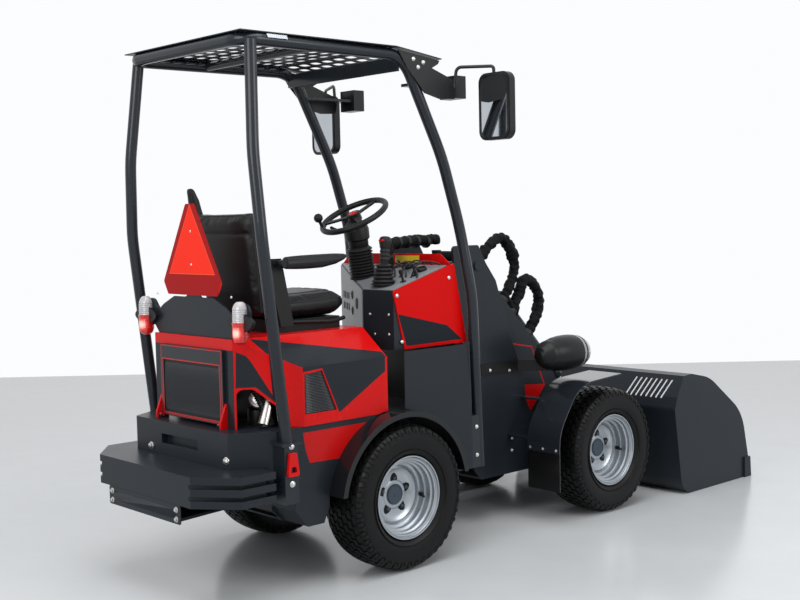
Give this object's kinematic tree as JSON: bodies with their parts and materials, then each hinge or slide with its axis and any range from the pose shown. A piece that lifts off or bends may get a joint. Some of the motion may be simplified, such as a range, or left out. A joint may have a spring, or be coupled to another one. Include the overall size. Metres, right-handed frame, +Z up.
{
  "type": "compact articulated wheel loader",
  "caption": "Compact wheel loader that steers at a centre pivot, with an open roll-over frame, a lifting boom and a tilting bucket.",
  "frame": {"origin": "middle of the machine's length and width on the floor under the tyres", "axes": "+X forward to the bucket, +Y to the left, +Z up"},
  "size_m": [3.39, 1.31, 2.1203],
  "materials": {
    "red_paint": "glossy",
    "dark_paint": "satin",
    "cast_iron": "painted",
    "rubber": "matt",
    "tyre": "matt",
    "rim_silver": "satin",
    "black_plastic": "matt",
    "vinyl": "satin",
    "ring_red": "glossy",
    "sign_red": "reflective",
    "lamp_red": "clear",
    "lens": "clear",
    "cylinder_paint": "satin",
    "chrome": "polished"
  },
  "bodies": {
    "rear_frame": {"bumper_weights": "cast_iron", "console_frame": "dark_paint", "console_panels": "red_paint", "counterweight": "cast_iron", "engine_block": "cast_iron", "engine_hood": "red_paint", "floor_plate": "dark_paint", "footwell_panels": "black_plastic", "hose_bundle_rear": "rubber", "instrument_panel": "black_plastic", "joystick": "black_plastic", "lamp_plate": "dark_paint", "mirrors": "black_plastic", "rear_chassis": "dark_paint", "rear_fenders": "black_plastic", "rear_wheel_motors": "dark_paint", "roof_plate": "dark_paint", "rops_frame": "dark_paint", "seat_back": "vinyl", "seat_base": "dark_paint", "seat_cushion": "vinyl", "side_grilles": "dark_paint", "slow_vehicle_triangle": "sign_red", "steering_column": "black_plastic", "tail_lamps": "lamp_red", "tie_down_rings": "ring_red", "tow_hitch": "dark_paint", "work_lights": "black_plastic"},
    "radiator_door": {"radiator_door": "dark_paint", "radiator_grille": "dark_paint"},
    "armrest_left": {"armrest_left": "vinyl"},
    "armrest_right": {"armrest_right": "vinyl"},
    "steering_wheel": {"steering_wheel": "black_plastic"},
    "front_frame": {"front_chassis": "dark_paint", "front_wheel_motors": "dark_paint", "front_fenders": "black_plastic", "headlights": "black_plastic", "headlight_lenses": "lens", "hose_bundle_front": "rubber"},
    "boom": {"boom": "dark_paint", "boom_hoses": "rubber"},
    "lift_barrel": {"lift_cylinder_barrel": "cylinder_paint"},
    "lift_rod": {"lift_cylinder_rod": "chrome"},
    "tilt_barrel": {"tilt_cylinder_barrel": "cylinder_paint"},
    "tilt_rod": {"tilt_cylinder_rod": "chrome"},
    "steer_barrel": {"steer_cylinder_barrel": "cylinder_paint"},
    "steer_rod": {"steer_cylinder_rod": "chrome"},
    "tool": {"quick_coupler": "dark_paint", "bucket": "dark_paint"},
    "wheel_front_left": {"tyre_front_left": "tyre", "rim_front_left": "rim_silver"},
    "wheel_front_right": {"tyre_front_right": "tyre", "rim_front_right": "rim_silver"},
    "wheel_rear_left": {"tyre_rear_left": "tyre", "rim_rear_left": "rim_silver"},
    "wheel_rear_right": {"tyre_rear_right": "tyre", "rim_rear_right": "rim_silver"}
  },
  "joints": [
    {"name": "spin_front_left", "type": "hinge", "parent": "front_frame", "child": "wheel_front_left", "pos_m": [0.571, 0.409, 0.297], "axis": [0, 1, 0], "continuous": true},
    {"name": "spin_rear_left", "type": "hinge", "parent": "rear_frame", "child": "wheel_rear_left", "pos_m": [-0.761, 0.409, 0.297], "axis": [0, 1, 0], "continuous": true},
    {"name": "spin_front_right", "type": "hinge", "parent": "front_frame", "child": "wheel_front_right", "pos_m": [0.571, -0.409, 0.297], "axis": [0, 1, 0], "continuous": true},
    {"name": "spin_rear_right", "type": "hinge", "parent": "rear_frame", "child": "wheel_rear_right", "pos_m": [-0.761, -0.409, 0.297], "axis": [0, 1, 0], "continuous": true},
    {"name": "articulation", "type": "hinge", "parent": "rear_frame", "child": "front_frame", "pos_m": [-0.095, 0, 0.41], "axis": [0, 0, 1], "range_deg": [-40, 40]},
    {"name": "steering_wheel_turn", "type": "hinge", "parent": "rear_frame", "child": "steering_wheel", "pos_m": [-0.594, 0, 1.44], "axis": [-0.4617, 0, 0.887], "continuous": true},
    {"name": "boom_lift", "type": "hinge", "parent": "front_frame", "child": "boom", "pos_m": [-0.035, 0, 1.2], "axis": [0, -1, 0], "range_deg": [0, 75]},
    {"name": "bucket_tilt", "type": "hinge", "parent": "boom", "child": "tool", "pos_m": [0.955, 0, 0.19], "axis": [0, -1, 0], "range_deg": [-45, 25]},
    {"name": "lift_barrel_swing", "type": "hinge", "parent": "front_frame", "child": "lift_barrel", "pos_m": [0.105, 0, 0.4], "axis": [0, -1, 0], "range_deg": [-3.84, 0]},
    {"name": "lift_rod_stroke", "type": "slide", "parent": "lift_barrel", "child": "lift_rod", "axis": [0.0278, 0, 0.9996], "range_m": [0, 0.26417]},
    {"name": "tilt_barrel_swing", "type": "hinge", "parent": "boom", "child": "tilt_barrel", "pos_m": [0.325, 0, 1.035], "axis": [0, -1, 0], "range_deg": [-4.08, 7.35]},
    {"name": "tilt_rod_stroke", "type": "slide", "parent": "tilt_barrel", "child": "tilt_rod", "axis": [0.7012, 0, -0.713], "range_m": [-0.07215, 0.12986]},
    {"name": "steer_barrel_swing", "type": "hinge", "parent": "rear_frame", "child": "steer_barrel", "pos_m": [-0.475, 0.1, 0.41], "axis": [0, 0, 1], "range_deg": [-8.27, 8.27]},
    {"name": "steer_rod_stroke", "type": "slide", "parent": "steer_barrel", "child": "steer_rod", "axis": [0.998, 0.0637, 0], "range_m": [-0.08479, 0.08479]},
    {"name": "radiator_door_hinge", "type": "hinge", "parent": "rear_frame", "child": "radiator_door", "pos_m": [-1.465, 0, 0.652], "axis": [0, -1, 0], "range_deg": [0, 75]},
    {"name": "armrest_right_fold", "type": "hinge", "parent": "rear_frame", "child": "armrest_right", "pos_m": [-1.195, -0.27, 1.258], "axis": [0, -1, 0], "range_deg": [0, 95]},
    {"name": "armrest_left_fold", "type": "hinge", "parent": "rear_frame", "child": "armrest_left", "pos_m": [-1.195, 0.27, 1.258], "axis": [0, -1, 0], "range_deg": [-98, 0]}
  ],
  "couplings": [
    {"joint": "lift_barrel_swing", "follows": "boom_lift", "ratio": -0.0511},
    {"joint": "lift_rod_stroke", "follows": "boom_lift", "m_per_rad": 0.2014},
    {"joint": "tilt_barrel_swing", "follows": "bucket_tilt", "ratio": -0.163},
    {"joint": "tilt_rod_stroke", "follows": "bucket_tilt", "m_per_rad": -0.165},
    {"joint": "steer_barrel_swing", "follows": "articulation", "ratio": 0.2064},
    {"joint": "steer_rod_stroke", "follows": "articulation", "m_per_rad": -0.1212}
  ]
}
